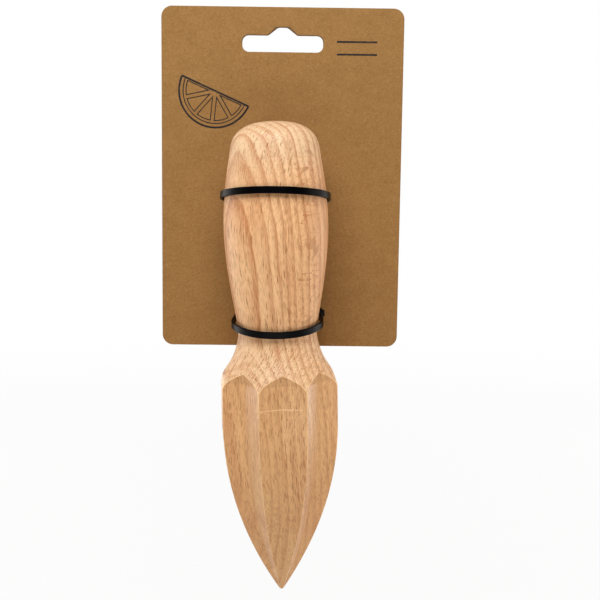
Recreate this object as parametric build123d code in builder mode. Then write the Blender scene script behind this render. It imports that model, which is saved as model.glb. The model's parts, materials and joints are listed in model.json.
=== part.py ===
from build123d import *
from math import acos, atan, atan2, cos, degrees, hypot, radians, sin, tan
import os

# A wooden citrus reamer tied to its hang card by two cable ties. Millimetres.
# Origin: the middle of the card's hang slot. +Z is up, and the card faces -Y.

# The hang card
card_width = 90.0
card_height = 127.0
card_thickness = 1.0
card_corner_radius = 4.0

# The hang slot: a long bar with a hump over its middle, for a display peg
slot_drop = 13.35  # from the card's top edge to the middle of the bar
slot_width = 30.0
slot_bar_height = 6.0
slot_end_radius = 2.4
hump_base = 10.8
hump_height = 2.9
hump_flank = 38.0  # degrees
hump_top_radius = 2.0
hump_foot_radius = 1.6

# The reamer, turned from one piece of beech
handle_radius = 19.0
handle_length = 77.0  # from the top end to the waist of the neck
belly_drop = 36.5  # from the top end to the widest part of the handle
neck_radius = 14.45
flare_length = 32.0  # from the waist to the widest part of the head
head_radius = 23.3  # as turned, before the grooves are milled
ogive_length = 66.8  # from the widest part of the head to the point, before it is rounded
ogive_power = 2.0
ogive_steps = 8
tip_start_share = 0.98  # of the ogive's length, where the rounded tip begins

# Points of the turned outline, as (share of the change in radius, share of the height)
# from the top end to the belly, from the belly to the waist, and from there to the head
dome_shares = ((0.2, 0.005), (0.49, 0.037), (0.774, 0.152), (0.868, 0.33), (0.937, 0.565))
belly_shares = ((0.982, 0.79), (1.0, 1.0))
waist_shares = ((0.27, 0.43), (0.71, 0.75), (0.93, 0.9), (1.0, 1.0))
flare_shares = (
    (0.04, 0.08), (0.215, 0.235), (0.5, 0.375), (0.69, 0.445), (0.84, 0.51), (0.945, 0.58),
    (0.99, 0.69), (1.0, 1.0),
)

# The grooves milled along the head: flat walls that meet in a valley
groove_count = 8
valley_share = 0.781  # valley radius, of the turned radius
ridge_share = 0.976  # ridge radius, of the turned radius
lift_share = 0.5  # of the flare's length, above which the cutter lifts out of the wood
lift_slope = 0.27  # how far it lifts, over the way up
flare_steps = 4
ridge_turn = 27.4  # degrees, of one ridge, from the front towards the right
groove_end_share = 0.99  # of the ogive's length, just past the rounded tip

# Where the reamer hangs
reamer_drop = 28.65  # from the slot to the handle's top end
reamer_shift = -2.6  # sideways, at the handle's top end
reamer_lean = 1.42  # degrees, in the plane of the card
wood_clearance = 0.3  # between the card and the wood
strap_clearance = 0.25  # between a strap and the wood

# The cable ties' straps
strap_width = 2.5
strap_thickness = 0.9
strap_edge_radius = 0.2
strap_bend_radius = 0.9  # inside, where the strap bends behind the card
strap_seat = 0.1  # between the strap and the card's back
tie_hole_clearance = 0.45  # all round a strap, in the card
tie_hole_offset = 13.7  # from the reamer's axis

# Where the ties lie, each on the reamer's axis below the handle's top end
upper_tie_drop = 26.9
upper_tie_tilt = -9.4  # degrees, front up
upper_tie_roll = 1.5  # degrees, right side down
lower_tie_drop = 72.9
lower_tie_tilt = 8.1  # degrees, front down
lower_tie_roll = 0.0
lower_tie_slack = 0.45  # each side, beyond the snug fit
side_bend_share = 0.8  # radius at the sides of the slack strap, of its front radius

# The head of a cable tie, with the strap's tail locked in its window
tie_head_front_wall = 0.7
tie_head_back_wall = 1.4
tie_head_side_wall = 0.35
tie_head_rise = 1.9  # above the middle of the strap
tie_head_edge_radius = 0.4
window_clearance = 0.1
tail_bend_radius = 0.9  # of the tail's middle line
tail_stub = 0.6  # left standing out of the window
tail_narrowing = 0.2  # of the cut tail, against the strap
lower_head_gap = 10.4  # from the card's front to the head of the lower tie
upper_head_shift = 4.0  # of the upper tie's head, from the reamer's axis to the right


def outline_points(shares, start_radius, end_radius, start_drop, end_drop):
    """Points of the turned outline between two named radii."""
    points = []
    for r, h in shares:
        radius = start_radius + r * (end_radius - start_radius)
        points.append((radius, -start_drop - h * (end_drop - start_drop)))
    return points


def ogive_radius(share):
    """Turned radius of the head, at a share of the way from its widest part to its point."""
    return head_radius * (1 - max(share, 0) ** ogive_power)


# The reamer's turned outline: x is the distance from the axis, y is zero at the top end
head_drop = handle_length + flare_length
tip_slope = head_radius * ogive_power * tip_start_share ** (ogive_power - 1) / ogive_length
tip_length = ogive_radius(tip_start_share) * tan((radians(90) - atan(tip_slope)) / 2)
tip_drop = head_drop + tip_start_share * ogive_length + tip_length
with BuildSketch() as turned_outline:
    with BuildLine():
        Spline(
            (0, 0),
            *outline_points(dome_shares + belly_shares, 0, handle_radius, 0, belly_drop),
            *outline_points(waist_shares, handle_radius, neck_radius, belly_drop, handle_length),
            *outline_points(flare_shares, neck_radius, head_radius, handle_length, head_drop),
            tangents=((1, 0), (0, -1)),
            tangent_scalars=(1, 1),
        )
        ogive_points = []
        for i in range(ogive_steps + 1):
            share = tip_start_share * i / ogive_steps
            ogive_points.append((ogive_radius(share), -head_drop - share * ogive_length))
        ogive = Spline(
            *ogive_points, tangents=((0, -1), (-tip_slope, -1)), tangent_scalars=(1, 1)
        )
        TangentArc(ogive @ 1, (0, -tip_drop), tangent=ogive % 1)
        Line((0, -tip_drop), (0, 0))
    make_face()


def widest_wood(top_drop, bottom_drop):
    """Largest radius of the turned wood between two distances below its top end."""
    with BuildSketch() as band:
        add(turned_outline.sketch)
        with Locations((0, -top_drop)):
            Rectangle(
                2 * head_radius + 2 * handle_radius, bottom_drop - top_drop,
                align=(Align.CENTER, Align.MAX), mode=Mode.INTERSECT,
            )
    return band.sketch.bounding_box().max.X


def strap_radius(drop, tilt, nominal_radius):
    """Inner radius of a strap that clears the wood all along its tilted way round it."""
    reach = nominal_radius * abs(sin(radians(tilt))) + strap_width / 2
    return widest_wood(drop - reach, drop + reach) + strap_clearance


# Worked out from the sizes above: the wood stands clear of the card by its widest part there
card_end_drop = card_height - slot_drop - reamer_drop  # the card's lower edge, below the top end
axis_distance = widest_wood(0, card_end_drop) + wood_clearance  # from the card's front
reamer_top = (reamer_shift, -card_thickness / 2 - axis_distance, -reamer_drop)
reamer_frame = Plane(origin=reamer_top).rotated((0, -reamer_lean, 0))
turning_plane = Plane(
    origin=reamer_frame.origin, x_dir=reamer_frame.x_dir, z_dir=-reamer_frame.y_dir
)
upper_plane = reamer_frame.offset(-upper_tie_drop).rotated((upper_tie_tilt, upper_tie_roll, 0))
lower_plane = reamer_frame.offset(-lower_tie_drop).rotated((lower_tie_tilt, lower_tie_roll, 0))
tie_hole_radius = hypot(strap_width, strap_thickness) / 2 + tie_hole_clearance
tie_head_width = strap_width + 2 * window_clearance + 2 * tie_head_side_wall
tail_width = strap_width - tail_narrowing


def star_section(share):
    """One section of the grooved head, ridges and valleys by turns."""
    lift = lift_slope * max(-share * ogive_length - (1 - lift_share) * flare_length, 0)
    with BuildSketch(reamer_frame.offset(-head_drop - share * ogive_length)) as section:
        with BuildLine():
            corners = []
            for i in range(2 * groove_count):
                radius = (ogive_radius(share) + lift) * (valley_share if i % 2 else ridge_share)
                angle = radians(ridge_turn - 90 + i * 180 / groove_count)
                corners.append((radius * cos(angle), radius * sin(angle)))
            Polyline(*corners, close=True)
        make_face()
    return section.sketch


def behind(depth, tilt):
    """A distance behind the reamer's axis, measured in the plane of a tilted tie."""
    return depth / cos(radians(tilt))


def back_run(tilt):
    """Where a strap's inner face runs behind the card, measured in the tie's plane."""
    edge = strap_width / 2 * abs(sin(radians(tilt)))
    return behind(axis_distance + card_thickness + strap_seat + edge, tilt)


def back_bends(tilt):
    """The two circles, as (x, y, radius), that a strap bends round behind the card."""
    x = tie_hole_offset - strap_thickness / 2 - strap_bend_radius
    y = back_run(tilt) - strap_bend_radius
    return [(x, y, strap_bend_radius), (-x, y, strap_bend_radius)]


def wrap_angles(rounds):
    """For circles taken anticlockwise, the way out at each straight run to the next one."""
    angles = []
    for (x1, y1, r1), (x2, y2, r2) in zip(rounds, rounds[1:] + rounds[:1]):
        inwards = degrees(acos((r1 - r2) / hypot(x2 - x1, y2 - y1)))
        angles.append(degrees(atan2(y2 - y1, x2 - x1)) - inwards)
    return angles


def wrap_outline(rounds, grow):
    """The outline of a strap pulled round a ring of circles."""
    angles = wrap_angles(rounds)
    with BuildSketch() as outline:
        with BuildLine():
            arcs = []
            for i, (x, y, radius) in enumerate(rounds):
                turn = (angles[i] - angles[i - 1]) % 360
                arcs.append(CenterArc((x, y), radius + grow, angles[i - 1], turn))
            for first, second in zip(arcs, arcs[1:] + arcs[:1]):
                Line(first @ 1, second @ 0)
        make_face()
    return outline.sketch


def tie_head_plane(plane, rounds, run, along):
    """Plane on a strap's middle line: x along the strap, y out of the loop.

    The place is a distance along the straight run that follows the circle numbered run.
    """
    x, y, radius = rounds[run]
    way_out = radians(wrap_angles(rounds)[run])
    out = Vector(cos(way_out), sin(way_out), 0)
    onward = Vector(-sin(way_out), cos(way_out), 0)
    local = Vector(x, y, 0) + out * (radius + strap_thickness / 2) + onward * along
    ahead = plane.from_local_coords(local + onward)
    origin = plane.from_local_coords(local)
    return Plane(origin=origin, x_dir=ahead - origin, z_dir=-plane.z_dir)


def cable_tie(plane, rounds, head_plane):
    """A closed cable tie: its strap, its head, and the cut tail that stands in the window."""
    half = strap_thickness / 2
    window = half + window_clearance
    with BuildPart() as strap:
        with BuildSketch(plane.offset(-strap_width / 2)):
            add(wrap_outline(rounds, strap_thickness))
            add(wrap_outline(rounds, 0), mode=Mode.SUBTRACT)
        extrude(amount=strap_width)
        sides = strap.faces().sort_by(Axis(plane.origin, plane.z_dir))
        fillet(sides[0].edges() + sides[-1].edges(), strap_edge_radius)
        # The gap in the loop where the tail leaves it
        with BuildSketch(head_plane.offset(-strap_width)):
            with Locations((-tail_bend_radius, 0)):
                Rectangle(
                    tail_bend_radius + window, 2 * strap_thickness,
                    align=(Align.MIN, Align.CENTER),
                )
        extrude(amount=2 * strap_width, mode=Mode.SUBTRACT)
    with BuildPart() as head:
        with BuildSketch(head_plane.offset(-tie_head_width / 2)):
            with Locations((-window - tie_head_front_wall, -half)):
                Rectangle(
                    tie_head_front_wall + 2 * window + tie_head_back_wall,
                    half + tie_head_rise, align=Align.MIN,
                )
        extrude(amount=tie_head_width)
        fillet(head.edges(), tie_head_edge_radius)
        # The way in for the tail, under the front wall, and the window above it
        with BuildSketch(head_plane.offset(-tie_head_width)):
            with Locations((-window - tie_head_front_wall, -half)):
                Rectangle(tie_head_front_wall + 2 * window, 2 * window, align=Align.MIN)
        extrude(amount=2 * tie_head_width, mode=Mode.SUBTRACT)
        with BuildSketch(head_plane.offset(-strap_width / 2 - window_clearance)):
            with Locations((-window, -half)):
                Rectangle(2 * window, 2 * tie_head_rise, align=Align.MIN)
        extrude(amount=strap_width + 2 * window_clearance, mode=Mode.SUBTRACT)
    with BuildPart() as tail:
        with BuildSketch(head_plane.offset(-tail_width / 2)):
            with BuildLine():
                lead = Line((-tail_bend_radius - strap_thickness, 0), (-tail_bend_radius, 0))
                bend = JernArc(lead @ 1, lead % 1, tail_bend_radius, 90)
                Line(bend @ 1, (0, tie_head_rise + tail_stub))
            trace(line_width=strap_thickness)
        extrude(amount=tail_width)
    with BuildPart() as tie:
        add(strap.part)
        add(head.part)
        add(tail.part)
    return tie


# The hang slot's outline
with BuildSketch() as hang_slot:
    RectangleRounded(slot_width, slot_bar_height, slot_end_radius)
    with Locations((0, slot_bar_height / 2)):
        Trapezoid(hump_base, hump_height, hump_flank, align=(Align.CENTER, Align.MIN))
    bar_top = hang_slot.vertices().group_by(Axis.Y)[-2]
    fillet(bar_top.sort_by(lambda corner: abs(corner.X))[:2], hump_foot_radius)
    fillet(hang_slot.vertices().group_by(Axis.Y)[-1], hump_top_radius)

# The hang card
with BuildPart() as hang_card:
    with BuildSketch(Plane.XZ.offset(card_thickness / 2)):
        with Locations((0, slot_drop)):
            RectangleRounded(
                card_width, card_height, card_corner_radius, align=(Align.CENTER, Align.MAX)
            )
        add(hang_slot.sketch, mode=Mode.SUBTRACT)
        for plane, tilt in ((upper_plane, upper_tie_tilt), (lower_plane, lower_tie_tilt)):
            reach = behind(axis_distance + card_thickness / 2, tilt)
            for side in (-1, 1):
                hole = plane.from_local_coords(Vector(side * tie_hole_offset, reach, 0))
                with Locations((hole.X, hole.Z)):
                    Circle(tie_hole_radius, mode=Mode.SUBTRACT)
    extrude(amount=-card_thickness)

# The waste that the grooving cutter takes off a thick ring round the head
with BuildPart() as groove_waste:
    with BuildSketch(reamer_frame.offset(-handle_length)):
        Circle(2 * head_radius)
    extrude(amount=-flare_length - groove_end_share * ogive_length)
    sections = []
    for i in range(flare_steps):
        height = flare_length * (1 - i / flare_steps)
        sections.append(star_section(-height / ogive_length))
    for i in range(ogive_steps + 1):
        sections.append(star_section(groove_end_share * i / ogive_steps))
    loft(sections, mode=Mode.SUBTRACT)

# The reamer
with BuildPart() as reamer:
    with BuildSketch(turning_plane):
        add(turned_outline.sketch)
    revolve(axis=Axis(reamer_frame.origin, reamer_frame.z_dir))
    add(groove_waste.part, mode=Mode.SUBTRACT)

# The upper tie, snug round the handle, its head behind the card
upper_radius = strap_radius(upper_tie_drop, upper_tie_tilt, handle_radius)
upper_rounds = [(0, 0, upper_radius), *back_bends(upper_tie_tilt)]
upper_head_plane = tie_head_plane(
    upper_plane, upper_rounds, 1, upper_rounds[1][0] - upper_head_shift
)
upper_cable_tie = cable_tie(upper_plane, upper_rounds, upper_head_plane)

# The lower tie, slack round the neck, its head at the right in front of the card
lower_radius = strap_radius(lower_tie_drop, lower_tie_tilt, neck_radius)
side_radius = side_bend_share * lower_radius
side_x = lower_radius + lower_tie_slack - side_radius
lower_rounds = [
    (0, 0, lower_radius),
    (side_x, 0, side_radius),
    *back_bends(lower_tie_tilt),
    (-side_x, 0, side_radius),
]
lower_head_plane = tie_head_plane(
    lower_plane, lower_rounds, 1, behind(axis_distance - lower_head_gap, lower_tie_tilt)
)
lower_cable_tie = cable_tie(lower_plane, lower_rounds, lower_head_plane)

hang_card.part.label = "hang_card"
reamer.part.label = "reamer"
upper_cable_tie.part.label = "upper_cable_tie"
lower_cable_tie.part.label = "lower_cable_tie"

os.makedirs("parts", exist_ok=True)
export_step(hang_card.part, "parts/hang_card.step")
export_step(reamer.part, "parts/reamer.step")
export_step(upper_cable_tie.part, "parts/upper_cable_tie.step")
export_step(lower_cable_tie.part, "parts/lower_cable_tie.step")
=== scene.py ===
"""Looks of a wooden citrus reamer that two cable ties hold on its hang card.

Metres, in the frame's own axes: the origin is the middle of the card's hang slot, +Z is up and the
card faces -Y.
"""

import json
import logging
from collections.abc import Callable, Sequence
from dataclasses import dataclass
from enum import Enum
from functools import cached_property
from math import atan2, cos, hypot, pi, radians, sin, sqrt

import bpy
import numpy as np
from bpy.types import Material, Node, NodeSocket, Object, World
from mathutils import Euler, Matrix, Vector, noise


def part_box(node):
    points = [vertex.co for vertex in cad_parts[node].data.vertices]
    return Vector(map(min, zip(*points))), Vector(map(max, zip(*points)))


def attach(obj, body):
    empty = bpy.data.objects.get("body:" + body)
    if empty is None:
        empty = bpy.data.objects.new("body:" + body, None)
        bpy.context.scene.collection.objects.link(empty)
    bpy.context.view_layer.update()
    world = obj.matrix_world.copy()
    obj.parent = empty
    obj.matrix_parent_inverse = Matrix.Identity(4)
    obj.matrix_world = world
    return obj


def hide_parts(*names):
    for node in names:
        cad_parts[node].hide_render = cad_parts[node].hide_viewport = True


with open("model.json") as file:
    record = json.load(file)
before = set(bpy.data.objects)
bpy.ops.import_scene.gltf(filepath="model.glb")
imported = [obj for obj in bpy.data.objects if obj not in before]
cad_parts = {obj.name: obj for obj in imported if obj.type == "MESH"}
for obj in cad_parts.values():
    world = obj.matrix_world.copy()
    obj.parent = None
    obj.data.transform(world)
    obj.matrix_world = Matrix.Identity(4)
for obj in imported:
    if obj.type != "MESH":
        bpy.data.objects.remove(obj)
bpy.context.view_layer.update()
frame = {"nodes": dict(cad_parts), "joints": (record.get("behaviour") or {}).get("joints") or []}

MM = 0.001
WHITE = (1.0, 1.0, 1.0, 1.0)
COOL = (0.95, 1.0, 1.03)
WARM = (1.0, 0.93, 0.82)
MILD = (1.0, 0.97, 0.92)
log = logging.getLogger("reamer")

Colour = tuple[float, float, float, float]
Triple = tuple[float, float, float]
Pair = tuple[float, float]


def srgb(red: int, green: int, blue: int) -> Colour:
    """Gives a colour card's colour in the renderer's linear values.

    Args:
        red: Its red, from 0 to 255.
        green: Its green.
        blue: Its blue.

    Returns:
        The colour, with an alpha of one.
    """
    parts = []
    for part in (red, green, blue):
        share = part / 255
        parts.append(share / 12.92 if share <= 0.04045 else ((share + 0.055) / 1.055) ** 2.4)
    return (*parts, 1.0)


class Value:
    """A number socket that can be written in sums, and adds its own Math nodes."""

    def __init__(self, recipe: "Recipe", socket: NodeSocket) -> None:
        """Wraps one output socket of a recipe's nodes."""
        self.recipe = recipe
        self.socket = socket

    def math(self, operation: str, *terms: "Value | float") -> "Value":
        """Adds one Math node, with these terms in its sockets."""
        settings, inputs = {"operation": operation}, dict(enumerate(terms))
        return self.recipe.value(self.recipe.add("ShaderNodeMath", settings, inputs))

    def __add__(self, other: "Value | float") -> "Value":
        """Adds."""
        return self.math("ADD", self, other)

    __radd__ = __add__

    def __sub__(self, other: "Value | float") -> "Value":
        """Subtracts."""
        return self.math("SUBTRACT", self, other)

    def __rsub__(self, other: float) -> "Value":
        """Subtracts, from the right."""
        return self.math("SUBTRACT", other, self)

    def __mul__(self, other: "Value | float") -> "Value":
        """Multiplies."""
        return self.math("MULTIPLY", self, other)

    __rmul__ = __mul__

    def __truediv__(self, other: "Value | float") -> "Value":
        """Divides."""
        return self.math("DIVIDE", self, other)

    def __pow__(self, other: float) -> "Value":
        """Raises to a power."""
        return self.math("POWER", self, other)

    def __abs__(self) -> "Value":
        """Drops the sign."""
        return self.math("ABSOLUTE", self)

    def least(self, other: "Value | float") -> "Value":
        """Takes the smaller of two."""
        return self.math("MINIMUM", self, other)

    def most(self, other: "Value | float") -> "Value":
        """Takes the larger of two."""
        return self.math("MAXIMUM", self, other)

    def fract(self) -> "Value":
        """Keeps what follows the point."""
        return self.math("FRACT", self)

    def floor(self) -> "Value":
        """Rounds down."""
        return self.math("FLOOR", self)

    def sine(self) -> "Value":
        """Takes the sine."""
        return self.math("SINE", self)

    def angle(self, run: "Value") -> "Value":
        """Takes the angle of a line whose rise this is."""
        return self.math("ARCTAN2", self, run)

    def ramp(self, low: float, high: float) -> "Value":
        """Rises smoothly from 0 to 1, or falls where low is the larger.

        Args:
            low: Where the result is 0.
            high: Where the result is 1.

        Returns:
            The eased share of the way from low to high.
        """
        node = self.recipe.add(
            "ShaderNodeMapRange",
            {"interpolation_type": "SMOOTHSTEP"},
            {"Value": self, "From Min": min(low, high), "From Max": max(low, high),
             "To Min": float(low > high), "To Max": float(low < high)},
        )
        return self.recipe.value(node)


class Recipe:
    """The nodes of one material or world, and the few steps that its patterns are written in."""

    def __init__(self, owner: Material | World) -> None:
        """Empties the owner's node tree, to start anew.

        Args:
            owner: The material or world.
        """
        owner.use_nodes = True
        self.owner = owner
        self.tree = owner.node_tree
        self.tree.nodes.clear()

    def add(self, kind: str, settings: dict | None = None, inputs: dict | None = None) -> Node:
        """Adds a node, sets it up, and then fills its sockets.

        Args:
            kind: The node's type.
            settings: Values for the node's own properties, set first.
            inputs: Numbers, colours, sockets or Values for its sockets, by name or number.

        Returns:
            The new node.
        """
        node = self.tree.nodes.new(kind)
        for name, value in (settings or {}).items():
            setattr(node, name, value)
        for name, value in (inputs or {}).items():
            value = getattr(value, "socket", value)
            if isinstance(value, NodeSocket):
                self.tree.links.new(value, node.inputs[name])
            else:
                node.inputs[name].default_value = value
        return node

    def value(self, node: Node, output: str | int = 0) -> Value:
        """Wraps one output of a node for sums."""
        return Value(self, node.outputs[output])

    def attribute(self, name: str, output: str = "Fac") -> Value:
        """Reads what the mesh holds at each vertex."""
        return self.value(self.add("ShaderNodeAttribute", {"attribute_name": name}), output)

    def place(self, origin: Vector, turn: Euler) -> NodeSocket:
        """Object coordinates about a point, turned, in millimetres.

        Args:
            origin: The point that becomes zero.
            turn: How the pattern's axes are turned against the object's.

        Returns:
            The vector socket.
        """
        coords = self.add("ShaderNodeTexCoord").outputs["Object"]
        mapping = self.add(
            "ShaderNodeMapping",
            {"vector_type": "TEXTURE"},
            {"Vector": coords, "Location": origin, "Rotation": turn, "Scale": (MM,) * 3},
        )
        return mapping.outputs[0]

    def parts(self, vector: NodeSocket) -> tuple[Value, Value, Value]:
        """Splits a vector into its three numbers."""
        node = self.add("ShaderNodeSeparateXYZ", inputs={0: vector})
        return tuple(Value(self, socket) for socket in node.outputs)

    def vector(self, x: Value | float, y: Value | float, z: Value | float) -> NodeSocket:
        """Joins three numbers into a vector."""
        return self.add("ShaderNodeCombineXYZ", inputs={0: x, 1: y, 2: z}).outputs[0]

    def scaled(self, vector: NodeSocket, sizes: Triple) -> NodeSocket:
        """Divides a vector by a size along each axis."""
        settings = {"operation": "DIVIDE"}
        return self.add("ShaderNodeVectorMath", settings, {0: vector, 1: sizes}).outputs[0]

    def cloud(
        self, vector: NodeSocket, sizes: Triple, seed: float, detail: float = 2.0,
        roughness: float = 0.5,
    ) -> Value:
        """Soft noise from 0 to 1, about 0.5, with its own size along each axis.

        Args:
            vector: Where it is read.
            sizes: The size of its features along x, y and z.
            seed: A number that shifts it, so that no two are alike.
            detail: How many finer layers it has.
            roughness: How strong the finer layers are.

        Returns:
            The noise.
        """
        node = self.add(
            "ShaderNodeTexNoise",
            {"noise_dimensions": "4D"},
            {"Vector": self.scaled(vector, sizes), "W": seed, "Scale": 1.0, "Detail": detail,
             "Roughness": roughness},
        )
        return self.value(node, "Fac")

    def grains(self, vector: NodeSocket, sizes: Triple, seed: float) -> tuple[Value, Value]:
        """Scattered spots, one in each cell of a loose grid.

        Args:
            vector: Where it is read.
            sizes: The size of a cell along x, y and z.
            seed: A number that shifts the cells.

        Returns:
            The distance to the nearest spot's middle, in cells, and a random number of its own.
        """
        node = self.add(
            "ShaderNodeTexVoronoi",
            {"voronoi_dimensions": "4D"},
            {"Vector": self.scaled(vector, sizes), "W": seed, "Scale": 1.0},
        )
        chance = self.add("ShaderNodeSeparateColor", inputs={0: node.outputs["Color"]})
        return self.value(node, "Distance"), self.value(chance, 0)

    def mix(
        self, share: Value, low: Colour | NodeSocket, high: Colour | NodeSocket,
        blend: str = "MIX",
    ) -> NodeSocket:
        """Mixes two colours, or their sockets, by a share of the second."""
        settings = {"data_type": "RGBA", "blend_type": blend}
        return self.add("ShaderNodeMix", settings, {0: share, 6: low, 7: high}).outputs[2]

    def layers(self, colour: NodeSocket, *coats: tuple[Value, Colour]) -> NodeSocket:
        """Lays coats of colour over each other.

        Args:
            colour: The colour below them.
            coats: How much of each coat lies at a place, and its colour.

        Returns:
            The colour socket.
        """
        for share, coat in coats:
            colour = self.mix(share, colour, coat)
        return colour

    def surface(
        self, colour: NodeSocket, roughness: Value, height: Value, relief: float, sheen: float
    ) -> Material:
        """Ends the material in one shader.

        Args:
            colour: The base colour.
            roughness: The roughness.
            height: The height of the relief, in units of relief.
            relief: How deep a height of one is, in millimetres.
            sheen: How strongly it mirrors light.

        Returns:
            The material.
        """
        bump = self.add(
            "ShaderNodeBump", inputs={"Height": height, "Distance": relief * MM, "Strength": 1.0}
        )
        shader = self.add(
            "ShaderNodeBsdfPrincipled",
            inputs={"Base Color": colour, "Roughness": roughness, "Specular IOR Level": sheen,
                    "Normal": bump.outputs[0]},
        )
        self.add("ShaderNodeOutputMaterial", inputs={"Surface": shader.outputs[0]})
        return self.owner


def select_only(obj: Object | None) -> None:
    """Leaves one object selected and active, or none, the frame's own nodes included.

    Args:
        obj: The object, or nothing.
    """
    for other in bpy.context.selected_objects:
        other.select_set(False)
    if obj:
        obj.select_set(True)
    bpy.context.view_layer.objects.active = obj


def edit(obj: Object, *steps: Callable[[], object]) -> None:
    """Runs edit mode operators on all of an object's mesh.

    Args:
        obj: The object.
        steps: What to run, in order.
    """
    select_only(obj)
    bpy.ops.object.mode_set(mode="EDIT")
    bpy.ops.mesh.select_all(action="SELECT")
    for step in steps:
        step()
    bpy.ops.object.mode_set(mode="OBJECT")


def smooth(obj: Object, degrees: float) -> None:
    """Shades an object smooth, apart from edges sharper than an angle."""
    select_only(obj)
    bpy.ops.object.shade_smooth_by_angle(angle=radians(degrees))


def paint(obj: Object, material: Material) -> None:
    """Gives an object its only material."""
    obj.data.materials.clear()
    obj.data.materials.append(material)


def finish_piece(obj: Object, body: str, node: str) -> None:
    """Ties a new piece to the frame and reports it.

    Args:
        obj: The piece.
        body: The body that it rides on.
        node: The node that it stands for.
    """
    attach(obj, body)
    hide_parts(node)
    log.info("%s: %d faces, on %s", obj.name, len(obj.data.polygons), body)


def clamped_spline(points: Sequence[Pair], start: Pair, end: Pair, steps: int) -> np.ndarray:
    """A smooth curve through given points.

    Args:
        points: The points, in order.
        start: The way that it leaves the first one, of length one.
        end: The way that it reaches the last one, of length one.
        steps: How many pieces each stretch between two points is cut into.

    Returns:
        The points along the curve, one a row.
    """
    knots = np.array(points)
    runs = np.linalg.norm(np.diff(knots, axis=0), axis=1)
    count = len(knots)
    system = np.eye(count)
    wanted = np.zeros((count, 2))
    wanted[0], wanted[-1] = start, end
    for i in range(1, count - 1):
        before, after = runs[i - 1], runs[i]
        system[i, i - 1:i + 2] = after, 2 * (before + after), before
        slopes = after / before * (knots[i] - knots[i - 1])
        wanted[i] = 3 * (slopes + before / after * (knots[i + 1] - knots[i]))
    tangents = np.linalg.solve(system, wanted)
    share = np.linspace(0, 1, steps, endpoint=False)[:, None]
    curve = []
    for i in range(count - 1):
        curve.append(
            (2 * share**3 - 3 * share**2 + 1) * knots[i]
            + (share**3 - 2 * share**2 + share) * runs[i] * tangents[i]
            + (3 * share**2 - 2 * share**3) * knots[i + 1]
            + (share**3 - share**2) * runs[i] * tangents[i + 1]
        )
    curve.append(knots[-1:])
    return np.concatenate(curve)


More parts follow.
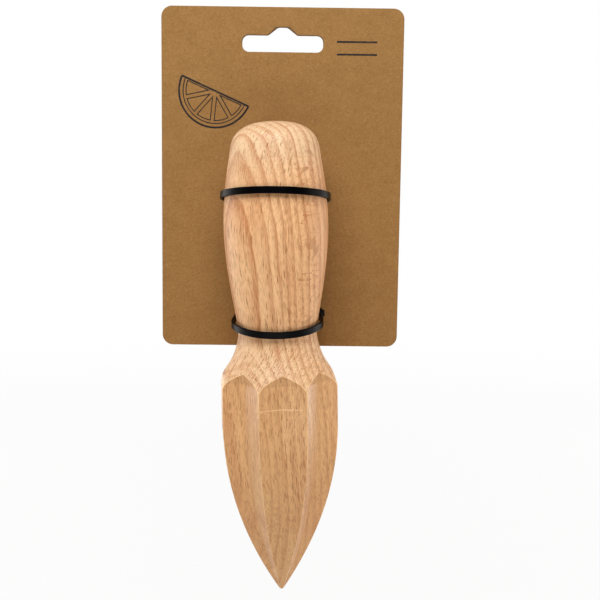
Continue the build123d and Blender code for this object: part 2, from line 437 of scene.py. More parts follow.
@dataclass(frozen=True)
class Beech:
    """Turned beech: growth rings, ray flecks, pores and fibre, cut from one solid block.

    Lengths are in millimetres. The three numbers of a size go across the rings, along them and
    up the tree. Heights count from the handle's top end, and a pair of them gives where a change
    starts and where it is full.
    """

    pale: Colour = srgb(241, 190, 139)
    ring: Colour = srgb(190, 116, 68)
    rosy: Colour = srgb(231, 172, 123)
    fleck: Colour = srgb(146, 80, 16)
    milled: Colour = srgb(240, 237, 227)  # multiplies the colour of the wood in the grooves
    # pale worn wood, also painted along the grooves' broken edges as a highlight
    worn_and_highlight: Colour = srgb(246, 204, 152)
    # paler, less saturated tone at the handle's dome and at the flare
    paler_ends_tone: Colour = srgb(236, 201, 161)
    roughness: float = 0.5
    sheen: float = 0.3
    relief: float = 0.018
    ring_turn: float = radians(40)  # of the ring surfaces' normal, from +X towards +Y
    ring_slant: float = 0.1  # how far the rings step aside for each millimetre of height
    ring_gap: float = 2.9
    pith: float = 95.5  # from the reamer's axis to the tree's
    sway_size: Triple = (26, 26, 60)
    wobble_size: Triple = (7, 7, 18)
    stretch_size: Triple = (7, 8, 8)
    year_size: Triple = (0.7, 1, 1)  # in rings
    haze_size: Triple = (2.2, 6, 40)
    mottle_size: Triple = (14, 10, 40)
    fibre_size: Triple = (0.32, 0.32, 2.4)
    thread_size: Triple = (0.5, 0.5, 9)
    sheet_size: Triple = (8, 0.45, 6)
    crowd_size: Triple = (22, 22, 30)
    ray_cell: Triple = (1.1, 0.28, 4.4)
    pore_cell: Triple = (0.5, 0.5, 1.8)
    arc_size: Triple = (6, 1.2, 1.8)
    patch_size: Triple = (1, 1, 14)
    lathe_size: Triple = (1, 1, 0.45)
    scratch_size: Triple = (0.35, 5, 8)
    scratch_lean: float = radians(32)
    dome_heights: Pair = (-26.0, -6.0)
    few_ray_heights: Pair = (-62.0, -34.0)
    flare_heights: Pair = (-70.0, -84.0)
    neck_heights: Pair = (-76.0, -82.0)
    gable_heights: Pair = (-104.0, -96.0)
    tip_heights: Pair = (-165.0, -125.0)
    mark_drop: float = 101.4  # to the cutter's mark
    mark_middle: float = 0.4  # to the right of the axis
    mark_reaches: Pair = (8.6, 7.8)  # to each side of its middle
    mark_depths: Pair = (-8.0, -12.0)
    mark_grain: Triple = (1.5, 1.5, 1.5)
    crumb_cell: Triple = (0.8, 0.8, 0.6)
    crumb_drop: float = 1.0  # below the mark
    crumb_reaches: Pair = (4.5, 0.5)

    def material(self, top: Vector, axis: Vector) -> Material:
        """Writes the wood as a solid pattern about the reamer's axis.

        Args:
            top: The handle's top end.
            axis: The reamer's axis, upwards.

        Returns:
            The material.
        """
        recipe = Recipe(bpy.data.materials.new("beech"))
        lean = atan2(axis.x, axis.z)
        grain = recipe.place(top, Euler((0, lean, self.ring_turn)))
        up = recipe.parts(grain)[2]
        wood = self.bent(recipe, grain)
        level = recipe.vector(0.0, 0.0, up)
        groove, edge = recipe.attribute("groove"), recipe.attribute("edge")
        turned = 1 - groove
        tilt = self.tilt(recipe)
        neck = up.ramp(*self.neck_heights) * turned
        ends = up.ramp(*self.dome_heights).most(up.ramp(*self.flare_heights) * 0.75) * turned
        ring_tone = self.rings(recipe, wood) * (1 - neck * tilt.ramp(0.55, 0.9) * 0.6)
        haze = recipe.cloud(wood, self.haze_size, 6.0, 2.0)
        mottle = recipe.cloud(wood, self.mottle_size, 7.0, 2.0)
        fibre = recipe.cloud(wood, self.fibre_size, 5.0, 1.0)
        sheet = recipe.cloud(wood, self.sheet_size, 11.0, 1.0)
        ray = self.rays(recipe, grain, wood, groove)
        ray_share = (tilt.ramp(0.0, 0.75) * 0.6 + 0.3) * (1 - groove * 0.33)
        ray_share = ray_share * (up.ramp(*self.tip_heights) * 0.5 + 0.5)
        pores, pore_size = recipe.grains(wood, self.pore_cell, 9.0)
        pore = pores.ramp(0.42, 0.2) * pore_size.ramp(0.2, 0.8)
        arcs = recipe.cloud(wood, self.arc_size, 17.0, 0.0)
        patch = recipe.cloud(level, self.patch_size, 18.0, 0.0)
        arc = abs(arcs - 0.56).ramp(0.035, 0.005) * tilt.ramp(0.45, 0.15) * patch.ramp(0.35, 0.5)
        crossing = recipe.place(top, Euler((0, lean + self.scratch_lean, 0)))
        scratches = recipe.cloud(crossing, self.scratch_size, 16.0, 1.0)
        colour = recipe.layers(
            recipe.mix(mottle.ramp(0.36, 0.66) * 0.7, self.pale, self.rosy),
            # paler and less saturated at the handle's dome and at the flare
            (ends * 0.85, self.paler_ends_tone),
            (haze.ramp(0.5, 0.75) * 0.4, self.ring),
            ((ring_tone * (0.92 - groove * 0.45)).least(1.0), self.ring),
            (pore * 0.3, self.fleck),
            (fibre.ramp(0.45, 0.75) * 0.36, self.fleck),
            (fibre.ramp(0.42, 0.25) * 0.35, self.worn_and_highlight),
            (sheet.ramp(0.58, 0.72) * (0.38 - groove * 0.25), self.fleck),
            (ray * ray_share, self.fleck),
            (arc * turned * 0.7, self.ring),
            (scratches.ramp(0.56, 0.68) * neck * 0.7, self.ring),
            (scratches.ramp(0.42, 0.3) * neck * 0.5, self.worn_and_highlight),
        )
        colour = recipe.layers(
            recipe.mix(groove, colour, self.milled, "MULTIPLY"),
            # painted highlight along the grooves' broken edges, together with paler worn fibres
            # there
            (edge * (up.ramp(*self.gable_heights) * 0.4 + 0.35), self.worn_and_highlight),
            (self.mark(recipe, top, lean) * groove * 0.7, self.worn_and_highlight),
        )
        lathe = recipe.cloud(level, self.lathe_size, 10.0, 1.0)
        relief = fibre * 0.6 - ray * 0.3 - pore * 0.3 + lathe * 0.25 + ring_tone * 0.3
        roughness = self.roughness + (fibre - 0.5) * 0.2 - groove * 0.2
        return recipe.surface(colour, roughness, relief, self.relief, self.sheen)

    def bent(self, recipe: Recipe, grain: NodeSocket) -> NodeSocket:
        """Bends straight grain, as a tree grows it.

        Args:
            recipe: The wood's recipe.
            grain: Places across the rings, along them and up the tree.

        Returns:
            The places that the rings and the fibre follow.
        """
        sway = recipe.cloud(grain, self.sway_size, 1.0) - 0.5
        wobble = recipe.cloud(grain, self.wobble_size, 2.0, 3.0) - 0.5
        across, along, up = recipe.parts(grain)
        return recipe.vector(
            across + up * self.ring_slant + sway * 6.0 + wobble * 1.4,
            along + wobble + sway * 4.0,
            up,
        )

    def rings(self, recipe: Recipe, wood: NodeSocket) -> Value:
        """The late wood's dark side of each growth ring.

        Args:
            recipe: The wood's recipe.
            wood: The places that the rings follow.

        Returns:
            How dark the wood is there, which differs from year to year.
        """
        radial, tangent, _ = recipe.parts(wood)
        reach = ((radial + self.pith) ** 2 + tangent**2) ** 0.5
        stretch = recipe.cloud(recipe.vector(reach, 0.0, 0.0), self.stretch_size, 3.0, 1.0) - 0.5
        phase = reach / self.ring_gap + stretch * 1.8
        share = phase.fract()
        late = share.ramp(0.15, 0.9) ** 1.5 * share.ramp(1.0, 0.88)
        year = recipe.cloud(recipe.vector(phase.floor(), 0.0, 0.0), self.year_size, 4.0)
        thread = recipe.cloud(wood, self.thread_size, 13.0, 1.0)
        return late * (year.ramp(0.3, 0.65) * 0.7 + 0.3) * (thread.ramp(0.25, 0.65) * 0.5 + 0.5)

    def rays(
        self, recipe: Recipe, grain: NodeSocket, wood: NodeSocket, groove: Value
    ) -> Value:
        """The short dark dashes of the rays, crowded in the grooves and few on the handle's top.

        Args:
            recipe: The wood's recipe.
            grain: The straight grain's places.
            wood: The bent grain's places.
            groove: How much a place belongs to a groove.

        Returns:
            How much of a dash lies there.
        """
        few = recipe.parts(grain)[2].ramp(*self.few_ray_heights)
        crowd = recipe.cloud(grain, self.crowd_size, 12.0, 1.0) - few * 0.3
        rays, ray_size = recipe.grains(wood, self.ray_cell, 8.0)
        chance = ray_size + crowd * (1.2 - groove * 0.8) + groove * 0.5
        return rays.ramp(0.46, 0.36) * chance.ramp(0.7, 1.3)

    def tilt(self, recipe: Recipe) -> Value:
        """How squarely the skin faces the rings, from 0 on their ends to 1 on their flats."""
        x, y, _ = recipe.parts(recipe.attribute("facing", "Vector").socket)
        return abs(x * cos(self.ring_turn) + y * sin(self.ring_turn))

    def mark(self, recipe: Recipe, top: Vector, lean: float) -> Value:
        """The front groove's pale line across the grain, where the cutter paused, and its crumbs.

        Args:
            recipe: The wood's recipe.
            top: The handle's top end.
            lean: The lean of the reamer's axis.

        Returns:
            How pale the wood is there.
        """
        spot = recipe.place(top, Euler((0, lean, 0)))
        side, depth, level = recipe.parts(spot)
        jitter = recipe.cloud(spot, self.mark_grain, 14.0, 3.0) - 0.5
        below = level + self.mark_drop
        line = abs(below + jitter * 0.7).ramp(0.28, 0.1) * (jitter + 0.5).ramp(0.25, 0.5)
        crumbs, crumb_size = recipe.grains(spot, self.crumb_cell, 15.0)
        near = abs(below + self.crumb_drop).ramp(*self.crumb_reaches)
        crumb = crumbs.ramp(0.42, 0.25) * crumb_size.ramp(0.4, 0.7) * near
        front = abs(side - self.mark_middle).ramp(*self.mark_reaches)
        return line.most(crumb) * front * depth.ramp(*self.mark_depths)


@dataclass(frozen=True)
class KraftBoard:
    """Uncoated brown board: clouded pulp, loose fibres and a few dark specks.

    Lengths are in millimetres, and depths count back from the middle of the board.
    """

    brown: Colour = srgb(155, 112, 62)
    dark: Colour = srgb(149, 107, 58)
    light: Colour = srgb(174, 131, 80)
    shade: Colour = srgb(132, 92, 47)
    speck: Colour = srgb(92, 62, 36)
    core: Colour = srgb(128, 104, 80)
    # painted shade along the upper edge of the hang slot
    slot_shade: Colour = srgb(86, 64, 44)
    ink: Colour = srgb(26, 23, 26)
    roughness: float = 0.82
    sheen: float = 0.25
    relief: float = 0.035
    pulp_size: Triple = (9, 9, 7)
    felt_size: Triple = (0.75, 0.75, 0.6)
    fibre_width: Pair = (0.3, 1)
    fibre_ways: tuple[Triple, ...] = (  # lean in degrees, length, seed
        (25, 1.9, 2.0), (-40, 1.6, 3.0), (80, 2.2, 4.0),
    )
    pit_cell: Triple = (3.1, 3.1, 3.1)
    core_depths: Pair = (0.48, 0.36)
    print_depths: Pair = (-0.3, -0.45)
    slot_half: Pair = (12.6, 0.6)  # to the middle of the bar's rounded corners
    slot_round: float = 2.4
    hump_half: float = 5.4
    hump_top: float = 5.9
    slot_shade_width: float = 0.5

    def material(self, print_mask: Callable[[Recipe], Value]) -> Material:
        """Writes the board with its print.

        Args:
            print_mask: Gives how much ink lies at a place.

        Returns:
            The material.
        """
        recipe = Recipe(bpy.data.materials.new("kraft_board"))
        spot = recipe.place(Vector(), Euler())
        across, depth, up = recipe.parts(spot)
        pulp = recipe.cloud(spot, self.pulp_size, 1.0, 3.0)
        felt = recipe.cloud(spot, self.felt_size, 6.0, 2.0, 0.6)
        rising, falling, level = (self.fibres(recipe, *way) for way in self.fibre_ways)
        fibre = rising.most(falling).most(level)
        pits, pit_size = recipe.grains(spot, self.pit_cell, 5.0)
        speck = pits.ramp(0.16, 0.06) * pit_size.ramp(0.75, 0.95)
        hold = pulp.ramp(0.25, 0.5) * 0.25 + fibre.ramp(0.85, 0.6) * 0.75
        ink = print_mask(recipe) * depth.ramp(*self.print_depths) * (0.25 + hold * 0.75)
        colour = recipe.layers(
            recipe.mix(pulp.ramp(0.3, 0.7), self.dark, self.brown),
            (felt.ramp(0.5, 0.8) * 0.75, self.light),
            (felt.ramp(0.5, 0.25) * 0.75, self.shade),
            (fibre.ramp(0.6, 0.8) * 0.4, self.light),
            (rising.least(level).ramp(0.42, 0.3) * 0.4, self.shade),
            (speck * 0.6, self.speck),
            (abs(depth).ramp(*self.core_depths) * 0.7, self.core),
            # painted shade: a dark line along the hang slot's upper edge
            (self.slot_shade_line(across, up) * 0.8, self.slot_shade),
            (ink, self.ink),
        )
        relief = fibre * 0.5 + felt * 0.7 - speck * 0.3
        roughness = self.roughness - ink * 0.15
        return recipe.surface(colour, roughness, relief, self.relief, self.sheen)

    def fibres(self, recipe: Recipe, lean: float, length: float, seed: float) -> Value:
        """Loose fibres of one length, which lean by some degrees."""
        way = recipe.place(Vector(), Euler((0, radians(lean), 0)))
        return recipe.cloud(way, (*self.fibre_width, length), seed)

    def slot_shade_line(self, across: Value, up: Value) -> Value:
        """Painted shade: a dark line along the upper edge of the hang slot, where its cut wall lies
        in shadow.

        Args:
            across: Millimetres to the right of the slot's middle.
            up: Millimetres above it.

        Returns:
            How dark the board is there.
        """
        beside = (abs(across) - self.slot_half[0]).most(0.0)
        above = (abs(up) - self.slot_half[1]).most(0.0)
        bar = (beside**2 + above**2) ** 0.5 - self.slot_round
        hump = (abs(across) + up - (self.hump_half + self.slot_half[1] + self.slot_round)) * 0.7
        outside = bar.least(hump.most(up - self.hump_top))
        return outside.ramp(self.slot_shade_width, 0.3 * self.slot_shade_width) * up.ramp(-1.0, 1.2)


@dataclass(frozen=True)
class BlackNylon:
    """Black moulded nylon with a faint drawn grain and a soft shine, in millimetres."""

    black: Colour = srgb(3, 3, 4)
    scuffed: Colour = srgb(14, 15, 18)
    roughness: float = 0.32
    sheen: float = 0.05
    relief: float = 0.02
    drawn_size: Triple = (3, 3, 0.12)
    scuff_size: Triple = (1.6, 1.6, 0.5)

    def material(self) -> Material:
        """Writes the nylon.

        Returns:
            The material.
        """
        recipe = Recipe(bpy.data.materials.new("black_nylon"))
        spot = recipe.place(Vector(), Euler())
        drawn = recipe.cloud(spot, self.drawn_size, 1.0)
        scuff = recipe.cloud(spot, self.scuff_size, 2.0, 4.0, 0.65)
        colour = recipe.mix(scuff.ramp(0.5, 0.8) * 0.6, self.black, self.scuffed)
        roughness = self.roughness + (scuff - 0.5) * 0.3
        relief = drawn * 0.6 + scuff * 0.4
        return recipe.surface(colour, roughness, relief, self.relief, self.sheen)


class Motif(Enum):
    """The plain devices printed on the card, by their middles, in millimetres from the slot's."""

    HALF_SLICE = (-25.0, 0.0, -17.5)
    UPPER_RULE = (27.6, 0.0, 1.0)
    LOWER_RULE = (27.6, 0.0, -3.6)


@dataclass(frozen=True)
class CardPrint:
    """Line art for the card's front, in millimetres: a half slice of citrus and two rules."""

    rind_radius: float = 13.5
    pith_radius: float = 12.0
    flesh_radius: float = 10.9
    hub_radius: float = 1.6
    wall: float = 0.75  # half the gap between two segments
    line: float = 0.36  # half a line's width
    fine_line: float = 0.2
    soft: float = 0.05  # how far a line's edge fades to each side
    segments: int = 5
    tilt: float = radians(24)
    rule_length: float = 15.0

    def stroke(self, distance: Value, half_width: float) -> Value:
        """Ink along the line where a distance is zero."""
        return abs(distance).ramp(half_width + self.soft, half_width - self.soft)

    def about(self, recipe: Recipe, motif: Motif, turn: float = 0.0) -> tuple[Value, Value]:
        """Millimetres across and up from a motif's middle, along axes that are turned."""
        spot = recipe.place(Vector(motif.value) * MM, Euler((0, turn, 0)))
        return recipe.parts(spot)[::2]

    def half_slice(self, recipe: Recipe) -> Value:
        """The half slice: its rind, its cut side, and the outlines of its segments.

        Args:
            recipe: The board's recipe.

        Returns:
            How much ink lies at a place.
        """
        across, up = self.about(recipe, Motif.HALF_SLICE, self.tilt)
        radius = (across**2 + up**2) ** 0.5
        below = up.ramp(self.line, 0.0)
        rind = self.stroke(radius - self.rind_radius, self.line) * below
        pith = self.stroke(radius - self.pith_radius, self.fine_line) * below
        side = self.stroke(up, self.line) * radius.ramp(self.rind_radius, self.rind_radius - 0.1)
        step = pi / self.segments
        off_middle = abs(((up * -1.0).angle(across) / step).fract() - 0.5) * step
        wall = radius * (step / 2 - off_middle).sine()
        outside = (radius - self.flesh_radius).most(self.wall - wall).most(self.hub_radius - radius)
        flesh = self.stroke(outside, self.fine_line) * up.ramp(0.0, -0.2)
        return rind.most(pith).most(side).most(flesh)

    def rule(self, recipe: Recipe, motif: Motif) -> Value:
        """One short straight rule.

        Args:
            recipe: The board's recipe.
            motif: Which rule.

        Returns:
            How much ink lies at a place.
        """
        across, up = self.about(recipe, motif)
        outside = (abs(across) - self.rule_length / 2).most(abs(up) - self.line)
        return outside.ramp(self.soft, -self.soft)

    def mask(self, recipe: Recipe) -> Value:
        """All the ink."""
        rules = self.rule(recipe, Motif.UPPER_RULE).most(self.rule(recipe, Motif.LOWER_RULE))
        return self.half_slice(recipe).most(rules)


@dataclass
class HangCard:
    """The die-cut card, with its edges slightly rolled by the die."""

    rolled_edge: float = 0.12 * MM
    merge: float = 0.001 * MM
    flat_turn: float = radians(1)  # under which two faces are one
    edge_turn: float = radians(40)  # over which an edge is rolled
    smooth_degrees: float = 35

    def build(self, board: Material) -> None:
        """Makes the card from its node's own shape.

        Args:
            board: The board's material.
        """
        card = bpy.data.objects.new("card", frame["nodes"]["hang_card"].data.copy())
        bpy.context.scene.collection.objects.link(card)
        edit(
            card,
            lambda: bpy.ops.mesh.remove_doubles(threshold=self.merge),
            lambda: bpy.ops.mesh.dissolve_limited(angle_limit=self.flat_turn),
            lambda: bpy.ops.mesh.select_all(action="DESELECT"),
            lambda: bpy.ops.mesh.edges_select_sharp(sharpness=self.edge_turn),
            lambda: bpy.ops.mesh.bevel(offset=self.rolled_edge, segments=2, affect="EDGES"),
        )
        smooth(card, self.smooth_degrees)
        bpy.ops.object.modifier_add(type="WEIGHTED_NORMAL")
        card.modifiers[-1].keep_sharp = True
        bpy.ops.object.modifier_apply(modifier=card.modifiers[-1].name)
        paint(card, board)
        finish_piece(card, "card", "hang_card")


@dataclass
class CableTies:
    """The two cable ties, which show their own solids."""

    names: tuple[str, str] = ("upper_cable_tie", "lower_cable_tie")
    smooth_degrees: float = 35

    def dress(self, nylon: Material) -> None:
        """Gives both ties their finish, and reports them.

        Args:
            nylon: The nylon's material.
        """
        for name in self.names:
            node = frame["nodes"][name]
            paint(node, nylon)
            smooth(node, self.smooth_degrees)
            log.info("%s: %d faces, in black nylon", name, len(node.data.polygons))


@dataclass
class Reamer:
    """The reamer: a turned skin whose columns follow eight milled grooves and their edges."""

    top: Vector  # the handle's top end
    axis: Vector  # upwards
    handle_radius: float = 19.0 * MM
    handle_length: float = 77.0 * MM
    belly_drop: float = 36.5 * MM
    neck_radius: float = 14.45 * MM
    flare_length: float = 32.0 * MM
    head_radius: float = 23.3 * MM
    ogive_length: float = 66.8 * MM
    ogive_power: float = 2.0
    tip_start_share: float = 0.98
    dome_shares: tuple[Pair, ...] = (  # of the radius gained, and of the way down
        (0.2, 0.005), (0.49, 0.037), (0.774, 0.152), (0.868, 0.33), (0.937, 0.565),
        (0.982, 0.79), (1.0, 1.0),
    )
    waist_shares: tuple[Pair, ...] = ((0.27, 0.43), (0.71, 0.75), (0.93, 0.9), (1.0, 1.0))
    flare_shares: tuple[Pair, ...] = (
        (0.04, 0.08), (0.215, 0.235), (0.5, 0.375), (0.69, 0.445), (0.84, 0.51), (0.945, 0.58),
        (0.99, 0.69), (1.0, 1.0),
    )
    grooves: int = 8
    valley_share: float = 0.781  # of the head's turned radius
    ridge_share: float = 0.976
    lift_share: float = 0.5  # of the flare, its upper end, where the cutter lifts out
    lift_slope: float = 0.27
    ridge_turn: float = radians(27.4)
    cut_changes: tuple = (0.0, 0.12, -0.1, 0.05, -0.14, 0.1, -0.05, 0.08)  # in millimetres
    edge_round: float = 0.2 * MM  # how far a broken edge reaches to each side
    edge_pull: float = 0.36  # how far rounding draws a ridge in, of its reach
    edge_margin: float = 0.14 * MM
    small_radius: float = 8.0 * MM  # of the head, where its edges start to get finer
    calm_radius: float = 6.0 * MM  # of the skin, where it starts to stray less
    gather: float = 14.0 * MM  # how far above a gable its columns start to draw together
    wobble: float = 0.05 * MM  # the skin strays by 1.5 of this at most
    wobble_length: float = 17.0 * MM
    wall_shares: tuple[float, ...] = (0.0, 0.25, 0.5, 0.75, 1.0)
    land_shares: tuple[float, ...] = (0.35, 0.7, 1.0)
    span_points: int = 60  # of the outline, between two of its shares
    ogive_points: int = 400
    tip_points: int = 30
    merge: float = 0.002 * MM
    smooth_degrees: float = 30

    @property
    def head_drop(self) -> float:
        """From the top end to the widest part of the head."""
        return self.handle_length + self.flare_length

    def ogive_radius(self, share: float) -> float:
        """Turned radius of the head, at a share of the way to its point."""
        return self.head_radius * (1 - max(share, 0.0) ** self.ogive_power)

    @cached_property
    def curve(self) -> np.ndarray:
        """The turned outline as close points, each a radius and a drop from the top.

        Returns:
            The points, one a row.
        """
        knees = np.array((
            (0.0, 0.0), (self.handle_radius, self.belly_drop),
            (self.neck_radius, self.handle_length), (self.head_radius, self.head_drop),
        ))
        points = [knees[0]]
        spans = (self.dome_shares, self.waist_shares, self.flare_shares)
        for shares, start, end in zip(spans, knees, knees[1:]):
            points.extend(start + np.array(shares) * (end - start))
        upper = clamped_spline(points, (1.0, 0.0), (0.0, 1.0), self.span_points)
        shares = np.linspace(0, self.tip_start_share, self.ogive_points)[1:]
        lower = [(self.ogive_radius(w), self.head_drop + w * self.ogive_length) for w in shares]
        radius, drop = lower[-1]
        rise = self.ogive_power * self.tip_start_share ** (self.ogive_power - 1)
        slope = self.head_radius * rise / self.ogive_length
        tip_radius = radius * hypot(1, slope)
        middle = drop - slope * radius
        for angle in np.linspace(atan2(drop - middle, radius), pi / 2, self.tip_points)[1:]:
            lower.append((tip_radius * cos(angle), middle + tip_radius * sin(angle)))
        lower[-1] = (0.0, middle + tip_radius)
        return np.concatenate([upper, np.array(lower)])

    def cut_radius(self, drop: float) -> float:
        """Radius that the grooves' shares are taken of, larger where the cutter lifts out.

        Args:
            drop: The distance below the top end.

        Returns:
            The radius.
        """
        above = self.head_drop - drop - (1 - self.lift_share) * self.flare_length
        share = (drop - self.head_drop) / self.ogive_length
        return self.ogive_radius(share) + self.lift_slope * max(above, 0.0)

    def drop_of(self, share: float) -> float:
        """Where the flare grows as wide as a share of the grooves' radius.

        Args:
            share: The share.

        Returns:
            The distance below the top end.
        """
        drops = np.linspace(self.handle_length, self.head_drop, 800)
        turned = np.interp(drops, self.curve[:, 1], self.curve[:, 0])
        cut = np.array([self.cut_radius(drop) for drop in drops]) * share
        return float(drops[np.argmax(turned > cut)])

    @cached_property
    def rings(self) -> list[Pair]:
        """The rings of the skin, close where the outline or the grooves turn quickly.

        Returns:
            The radius and the drop of each.
        """
        gable, shoulder = self.drop_of(self.valley_share), self.drop_of(self.ridge_share)
        steps = (  # how far down each goes, and the gap between its rings
            (6 * MM, 0.5 * MM), (self.handle_length, 1.1 * MM), (gable - MM, 0.6 * MM),
            (shoulder + 2 * MM, 0.16 * MM), (self.head_drop + 0.9 * self.ogive_length, 0.9 * MM),
            (self.curve[-1, 1], 0.25 * MM),
        )
        runs = np.linalg.norm(np.diff(self.curve, axis=0), axis=1)
        lengths = np.concatenate([[0.0], np.cumsum(runs)])
        rings = [(0.0, 0.0)]
        start = 0.0
        for drop, step in steps:
            end = float(np.interp(drop, self.curve[:, 1], lengths))
            for length in np.linspace(start, end, max(2, round((end - start) / step) + 1))[1:]:
                ring = (float(np.interp(length, lengths, part)) for part in self.curve.T)
                rings.append(tuple(ring))
            start = end
        return rings

    def half_section(self, radius: float, drop: float, change: float) -> list[tuple]:
        """Half a groove, from its valley to the middle of the ridge beside it.

        Args:
            radius: The turned radius of the ring.
            drop: The ring's distance below the top end.
            change: How much less deep than the others this groove is cut.

        Returns:
            For each column its radius, its angle from the valley, and how much it belongs to
            the groove and to its broken edge.
        """
        half = pi / self.grooves
        columns = len(self.wall_shares) + 4 + len(self.land_shares)  # four round the edge
        cut = self.cut_radius(drop)
        valley = self.valley_share * cut + change * cut / self.head_radius
        ridge = self.ridge_share * cut
        if radius < 1e-9:
            return [(0.0, 0.0, 0.0, 0.0)] * columns
        if radius <= valley and drop < self.head_drop:
            near = max(0.0, 1 - (self.drop_of(self.valley_share) - drop) / self.gather)
            near = near * near * (3 - 2 * near)
            drawn = [0.0] * (columns - len(self.land_shares))
            section = []
            for i, share in enumerate((*drawn, *self.land_shares)):
                even = half * i / (columns - 1)
                section.append((radius, even + near * (half * share - even), 0.0, 0.0))
            return section
        way = Vector((ridge * cos(half) - valley, ridge * sin(half)))
        whole = way.length
        way.normalize()
        wall = 0.0
        if radius > valley:
            along = valley * way.x
            wall = min(whole, sqrt(along**2 + radius**2 - valley**2) - along)
        start = min(valley, radius)
        corner = atan2(wall * way.y, start + wall * way.x)
        corner_radius = hypot(start + wall * way.x, wall * way.y)
        land = corner_radius * (half - corner)
        small = min(1.0, corner_radius / self.small_radius)
        reach = min(self.edge_round * small, 0.3 * wall)
        margin = min(self.edge_margin * small, 0.2 * wall)
        land_reach = min(reach, 0.5 * land)
        land_margin = min(margin, 0.3 * land)
        pulled = reach * self.edge_pull * max(0.0, 1 - land / (2 * reach + 1e-9))
        section = []
        for part in (*[w * (wall - reach - margin) for w in self.wall_shares], wall - reach):
            x, y = start + part * way.x, part * way.y
            section.append((hypot(x, y), atan2(y, x), 1.0, 0.0))
        inner = section[-1]
        section[-1] = (*inner[:2], 1.0, min(1.0, wall / MM))
        outer = (corner_radius - pulled, corner + land_reach / corner_radius)
        middle = (inner[0] * 0.3 + outer[0] * 0.7, inner[1] * 0.45 + outer[1] * 0.55)
        section += [(*middle, 0.6, 1.0), (*outer, 0.2, 1.0)]
        worn_and_highlight = 1 - land / (2 * reach) if land < 2 * reach else 0.0
        rest = land - land_reach - land_margin
        for part in (0.0, *self.land_shares):
            angle = corner + (land_reach + land_margin + part * rest) / corner_radius
            section.append((outer[0], angle, 0.0, worn_and_highlight))
        return section

    def wobbled(self, place: Vector, out: Vector) -> Vector:
        """Moves a place on the skin in or out, as a hand-sanded surface strays."""
        spot = Vector((place.x, place.y, place.z / 2)) / self.wobble_length
        return place + out * (noise.noise(spot) - 0.5) * self.wobble

    def build(self, beech: Material) -> None:
        """Wraps a grid into the skin, and closes its seam and its two ends.

        Args:
            beech: The wood's material.
        """
        half = pi / self.grooves
        rows = []
        for radius, drop in self.rings:
            row = []
            for groove in range(self.grooves):
                section = self.half_section(radius, drop, self.cut_changes[groove] * MM)
                middle = self.ridge_turn - pi / 2 - half + 2 * half * groove
                left = [(r, middle - a, g, e) for r, a, g, e in reversed(section)]
                right = [(r, middle + a, g, e) for r, a, g, e in section]
                row.extend(left[:-1] + right[:-1])
            row.append(row[0])
            rows.append(row)
        select_only(None)
        bpy.ops.mesh.primitive_grid_add(
            x_subdivisions=len(rows[0]) - 1, y_subdivisions=len(rows) - 1, size=self.head_radius
        )
        skin = bpy.context.object
        skin.name = skin.data.name = "beech_reamer"
        across = Vector((1, 0, 0))
        right = (across - self.axis * across.dot(self.axis)).normalized()
        turn = Matrix((right, self.axis.cross(right), self.axis)).transposed()
        places = []
        for (_, drop), row in zip(self.rings, rows):
            for radius, angle, _, _ in row:
                out = turn @ Vector((cos(angle), sin(angle), 0))
                place = self.top + out * radius - self.axis * drop
                if radius > 0:
                    place = self.wobbled(place, out * min(1.0, radius / self.calm_radius))
                places.extend(place)
        skin.data.vertices.foreach_set("co", places)
        for i, name in enumerate(("groove", "edge"), 2):
            shares = [column[i] for row in rows for column in row]
            skin.data.attributes.new(name, "FLOAT", "POINT").data.foreach_set("value", shares)
        edit(
            skin,
            lambda: bpy.ops.mesh.remove_doubles(threshold=self.merge),
            lambda: bpy.ops.mesh.normals_make_consistent(inside=False),
        )
        facing = np.zeros(3 * len(skin.data.vertices))
        skin.data.vertices.foreach_get("normal", facing)
        normals = skin.data.attributes.new("facing", "FLOAT_VECTOR", "POINT")
        normals.data.foreach_set("vector", facing)
        smooth(skin, self.smooth_degrees)
        paint(skin, beech)
        finish_piece(skin, "reamer", "reamer")


@dataclass(frozen=True)
class Lamp:
    """A soft lamp: where it stands, its width and height, its power in watts, and its tint."""

    name: str
    place: Triple
    size: Pair
    power: float
    tint: Triple

    def light(self, target: Vector) -> None:
        """Adds the lamp.

        Args:
            target: What it points at.
        """
        data = bpy.data.lights.new(self.name, "AREA")
        data.shape = "RECTANGLE"
        data.size, data.size_y = self.size
        data.energy = self.power
        data.color = self.tint
        lamp = bpy.data.objects.new(self.name, data)
        place = Vector(self.place)
        turn = (target - place).to_track_quat("-Z", "Y")
        lamp.matrix_world = Matrix.LocRotScale(place, turn, None)
        bpy.context.scene.collection.objects.link(lamp)


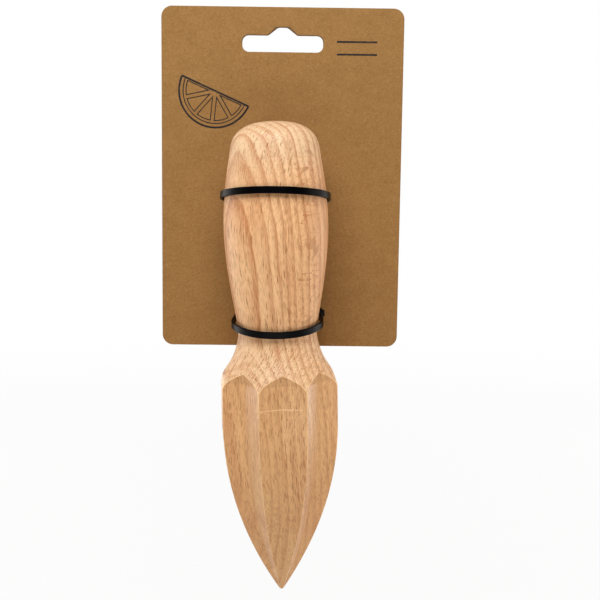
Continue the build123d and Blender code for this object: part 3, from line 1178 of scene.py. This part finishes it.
@dataclass
class Studio:
    """A pale floor, a white backdrop, soft lamps, and the camera at the photograph's angle."""

    target: Vector
    lamps: tuple[Lamp, ...] = (
        Lamp("top_lamp", (-0.05, -0.28, 0.32), (0.4, 0.3), 3.1, COOL),
        Lamp("left_lamp", (-0.5, -0.03, -0.12), (0.3, 0.5), 0.48, WARM),
        Lamp("right_lamp", (0.5, -0.03, -0.12), (0.3, 0.5), 1.05, WARM),
        Lamp("left_rim", (-0.5, 0.34, -0.17), (0.5, 0.4), 2.4, MILD),
        Lamp("right_rim", (0.5, 0.38, -0.17), (0.5, 0.4), 1.8, MILD),
        Lamp("low_lamp", (0.0, -0.4, -0.25), (0.5, 0.06), 0.33, WARM),
    )
    fill: float = 0.01  # strength of the surroundings on the object
    fill_tint: Colour = (1.0, 0.86, 0.68, 1.0)
    floor_level: float = -0.285
    floor_size: float = 6.0
    floor_tones: tuple[Colour, Colour] = (srgb(236, 236, 234), srgb(242, 242, 241))
    floor_patch: Triple = (400, 400, 400)  # in millimetres, as the fade
    floor_white: float = 0.93  # share of plain white in what the camera sees of it
    floor_fade: Pair = (250, 1100)  # distances between which it becomes all white
    lens: float = 67.79
    sensor: float = 36.0
    card_middle: Triple = (0, -0.0005, -0.05015)
    offset: Triple = (-0.00701, 0.04536, -0.42615)  # of the card's middle, seen by the camera
    look_down: float = radians(7.88)
    yaw: float = radians(0.62)
    roll: float = radians(-0.716)

    def camera(self) -> None:
        """Sets up the camera from the place that the card has before it."""
        to_camera = (
            Matrix.Translation(self.offset)
            @ Matrix.Rotation(self.roll, 4, "Z")
            @ Matrix.Rotation(self.look_down, 4, "X")
            @ Matrix.Rotation(self.yaw, 4, "Y")
        )
        to_card = Matrix.Translation(self.card_middle) @ Matrix.Rotation(pi / 2, 4, "X")
        data = bpy.data.cameras.new("camera")
        data.lens = self.lens
        data.sensor_width = self.sensor
        data.clip_start = 0.01
        camera = bpy.data.objects.new("camera", data)
        camera.matrix_world = to_card @ to_camera.inverted()
        bpy.context.scene.collection.objects.link(camera)
        bpy.context.scene.camera = camera

    def floor(self) -> None:
        """Lays the floor, which keeps a faint shadow and runs out into white."""
        select_only(None)
        bpy.ops.mesh.primitive_plane_add(
            size=self.floor_size, location=(self.target.x, self.target.y, self.floor_level)
        )
        floor = bpy.context.object
        floor.name = "floor"
        recipe = Recipe(bpy.data.materials.new("floor"))
        path = recipe.add("ShaderNodeLightPath")
        seen = recipe.value(path, "Is Camera Ray").most(recipe.value(path, "Is Glossy Ray"))
        spot = recipe.place(Vector(), Euler())
        far = recipe.add("ShaderNodeVectorMath", {"operation": "LENGTH"}, {0: spot})
        fade = recipe.value(far, "Value").ramp(*self.floor_fade)
        colour = recipe.mix(recipe.cloud(spot, self.floor_patch, 1.0), *self.floor_tones)
        matte = recipe.add("ShaderNodeBsdfDiffuse", inputs={"Color": colour})
        white = recipe.add("ShaderNodeEmission", inputs={"Color": WHITE, "Strength": 1.0})
        share = seen * (self.floor_white + fade * (1 - self.floor_white))
        inputs = {0: share, 1: matte.outputs[0], 2: white.outputs[0]}
        mixed = recipe.add("ShaderNodeMixShader", inputs=inputs)
        recipe.add("ShaderNodeOutputMaterial", inputs={"Surface": mixed.outputs[0]})
        paint(floor, recipe.owner)

    def world(self) -> None:
        """Makes the surroundings: white to the camera, and an even soft fill."""
        recipe = Recipe(bpy.data.worlds.new("world"))
        seen = recipe.value(recipe.add("ShaderNodeLightPath"), "Is Camera Ray")
        tint = recipe.mix(seen, self.fill_tint, WHITE)
        strength = seen * (1 - self.fill) + self.fill
        inputs = {"Color": tint, "Strength": strength}
        background = recipe.add("ShaderNodeBackground", inputs=inputs)
        recipe.add("ShaderNodeOutputWorld", inputs={"Surface": background.outputs[0]})
        bpy.context.scene.world = recipe.owner

    def build(self) -> None:
        """Sets the stage, the light and the camera."""
        self.camera()
        self.floor()
        self.world()
        for lamp in self.lamps:
            lamp.light(self.target)
        bpy.context.scene.view_settings.view_transform = "Standard"


def main() -> None:
    """Builds the object's pieces in order, and the stage round them."""
    logging.basicConfig(level=logging.INFO, format="%(name)s %(message)s")
    joint = frame["joints"][0]
    top = Vector(joint["pos_m"])
    axis = Vector(joint["axis"]).normalized()
    Reamer(top, axis).build(Beech().material(top, axis))
    HangCard().build(KraftBoard().material(CardPrint().mask))
    CableTies().dress(BlackNylon().material())
    low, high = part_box("reamer")
    Studio((Vector(low) + Vector(high)) / 2).build()


if __name__ == "__main__":
    main()
